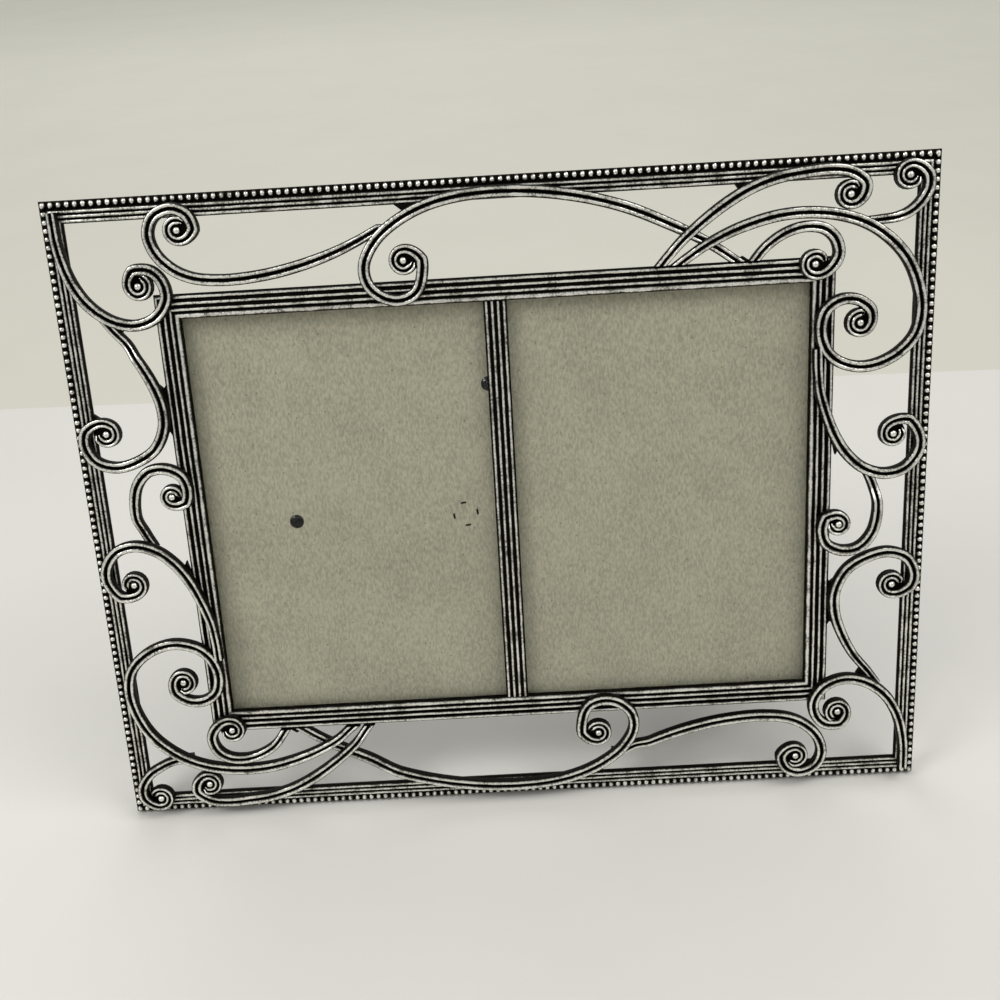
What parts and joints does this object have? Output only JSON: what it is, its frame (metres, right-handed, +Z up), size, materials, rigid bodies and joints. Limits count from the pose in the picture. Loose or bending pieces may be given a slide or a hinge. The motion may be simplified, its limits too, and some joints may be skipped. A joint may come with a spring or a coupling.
{
  "type": "double photo frame",
  "caption": "Standing picture frame with two windows side by side, a reeded and beaded metal border, open scrollwork, glass, a backing board and a folding easel leg.",
  "frame": {"origin": "on the table, under the middle of the space the open frame takes", "axes": "+X to the frame's right as seen from the front, +Y towards its back, +Z up; the face leans back by 15 degrees"},
  "size_m": [0.348, 0.1403, 0.2579],
  "materials": {
    "pewter": "antique silver, bright on the crests and near black in the grooves",
    "clear_glass": "polished flat glass",
    "greyboard": "grey-olive board with fine dark fibres",
    "cover_paper": "matt black paper with a fine grain",
    "leg_board": "black paper-covered board",
    "hardware": "thin brass-plated sheet and wire, dulled",
    "black_rivet": "glossy black",
    "ribbon": "black woven ribbon"
  },
  "bodies": {
    "frame": {"border_top": "pewter", "border_bottom": "pewter", "border_left": "pewter", "border_right": "pewter", "beads_top": "pewter", "beads_bottom": "pewter", "beads_left": "pewter", "beads_right": "pewter", "rail_top": "pewter", "rail_bottom": "pewter", "rail_left": "pewter", "rail_right": "pewter", "mullion": "pewter", "scroll_top_left": "pewter", "scroll_top_arch": "pewter", "scroll_top_sweep": "pewter", "scroll_corner_hook": "pewter", "scroll_corner_curl": "pewter", "scroll_corner_tip": "pewter", "scroll_right_upper": "pewter", "scroll_right_middle": "pewter", "scroll_right_lower": "pewter", "scroll_right_foot": "pewter", "scroll_bottom_right": "pewter", "scroll_bottom_arch": "pewter", "scroll_bottom_sweep": "pewter", "scroll_low_hook": "pewter", "scroll_low_curl": "pewter", "scroll_low_tip": "pewter", "scroll_left_lower": "pewter", "scroll_left_middle": "pewter", "scroll_left_upper": "pewter", "scroll_left_head": "pewter", "pearls": "pewter", "glass_left": "clear_glass", "glass_right": "clear_glass", "backing_board": "greyboard", "board_cover": "cover_paper", "button_screws": "hardware", "rivet_wide": "black_rivet", "strap_wide": "hardware", "rivet_tall": "black_rivet", "strap_tall": "hardware", "hinge_leaf": "hardware", "hinge_pin": "hardware", "stay_ribbon": "ribbon"},
    "button_top_left_body": {"button_top_left": "hardware"},
    "button_top_right_body": {"button_top_right": "hardware"},
    "button_bottom_left_body": {"button_bottom_left": "hardware"},
    "button_bottom_right_body": {"button_bottom_right": "hardware"},
    "button_left_body": {"button_left": "hardware"},
    "button_right_body": {"button_right": "hardware"},
    "ring_wide_body": {"ring_wide": "hardware"},
    "ring_tall_body": {"ring_tall": "hardware"},
    "leg": {"leg_leaf": "hardware", "leg_rivets": "hardware", "easel_leg": "leg_board"}
  },
  "joints": [
    {"name": "button_top_left_turn", "type": "hinge", "parent": "frame", "child": "button_top_left_body", "pos_m": [-0.06225, -0.00085, 0.21579], "axis": [0, 0.9659, -0.2588], "range_deg": [0, 90]},
    {"name": "button_top_right_turn", "type": "hinge", "parent": "frame", "child": "button_top_right_body", "pos_m": [0.06225, -0.00085, 0.21579], "axis": [0, 0.9659, -0.2588], "range_deg": [0, 90]},
    {"name": "button_bottom_left_turn", "type": "hinge", "parent": "frame", "child": "button_bottom_left_body", "pos_m": [-0.06225, -0.04809, 0.03951], "axis": [0, 0.9659, -0.2588], "range_deg": [0, 90]},
    {"name": "button_bottom_right_turn", "type": "hinge", "parent": "frame", "child": "button_bottom_right_body", "pos_m": [0.06225, -0.04809, 0.03951], "axis": [0, 0.9659, -0.2588], "range_deg": [0, 90]},
    {"name": "button_left_turn", "type": "hinge", "parent": "frame", "child": "button_left_body", "pos_m": [-0.13045, -0.02447, 0.12765], "axis": [0, 0.9659, -0.2588], "range_deg": [0, 90]},
    {"name": "button_right_turn", "type": "hinge", "parent": "frame", "child": "button_right_body", "pos_m": [0.13045, -0.02447, 0.12765], "axis": [0, 0.9659, -0.2588], "range_deg": [0, 90]},
    {"name": "ring_wide_swing", "type": "hinge", "parent": "frame", "child": "ring_wide_body", "pos_m": [-0.0046, -0.00733, 0.1866], "axis": [1, 0, 0], "range_deg": [-14, 160]},
    {"name": "ring_tall_swing", "type": "hinge", "parent": "frame", "child": "ring_tall_body", "pos_m": [-0.0981, -0.02379, 0.12518], "axis": [0, 0.2588, 0.9659], "range_deg": [0, 175]},
    {"name": "leg_fold", "type": "hinge", "parent": "frame", "child": "leg", "pos_m": [-0.01052, -0.02513, 0.11785], "axis": [-0.7071, -0.183, -0.683], "range_deg": [0, 35], "deforming": ["stay_ribbon"]}
  ]
}
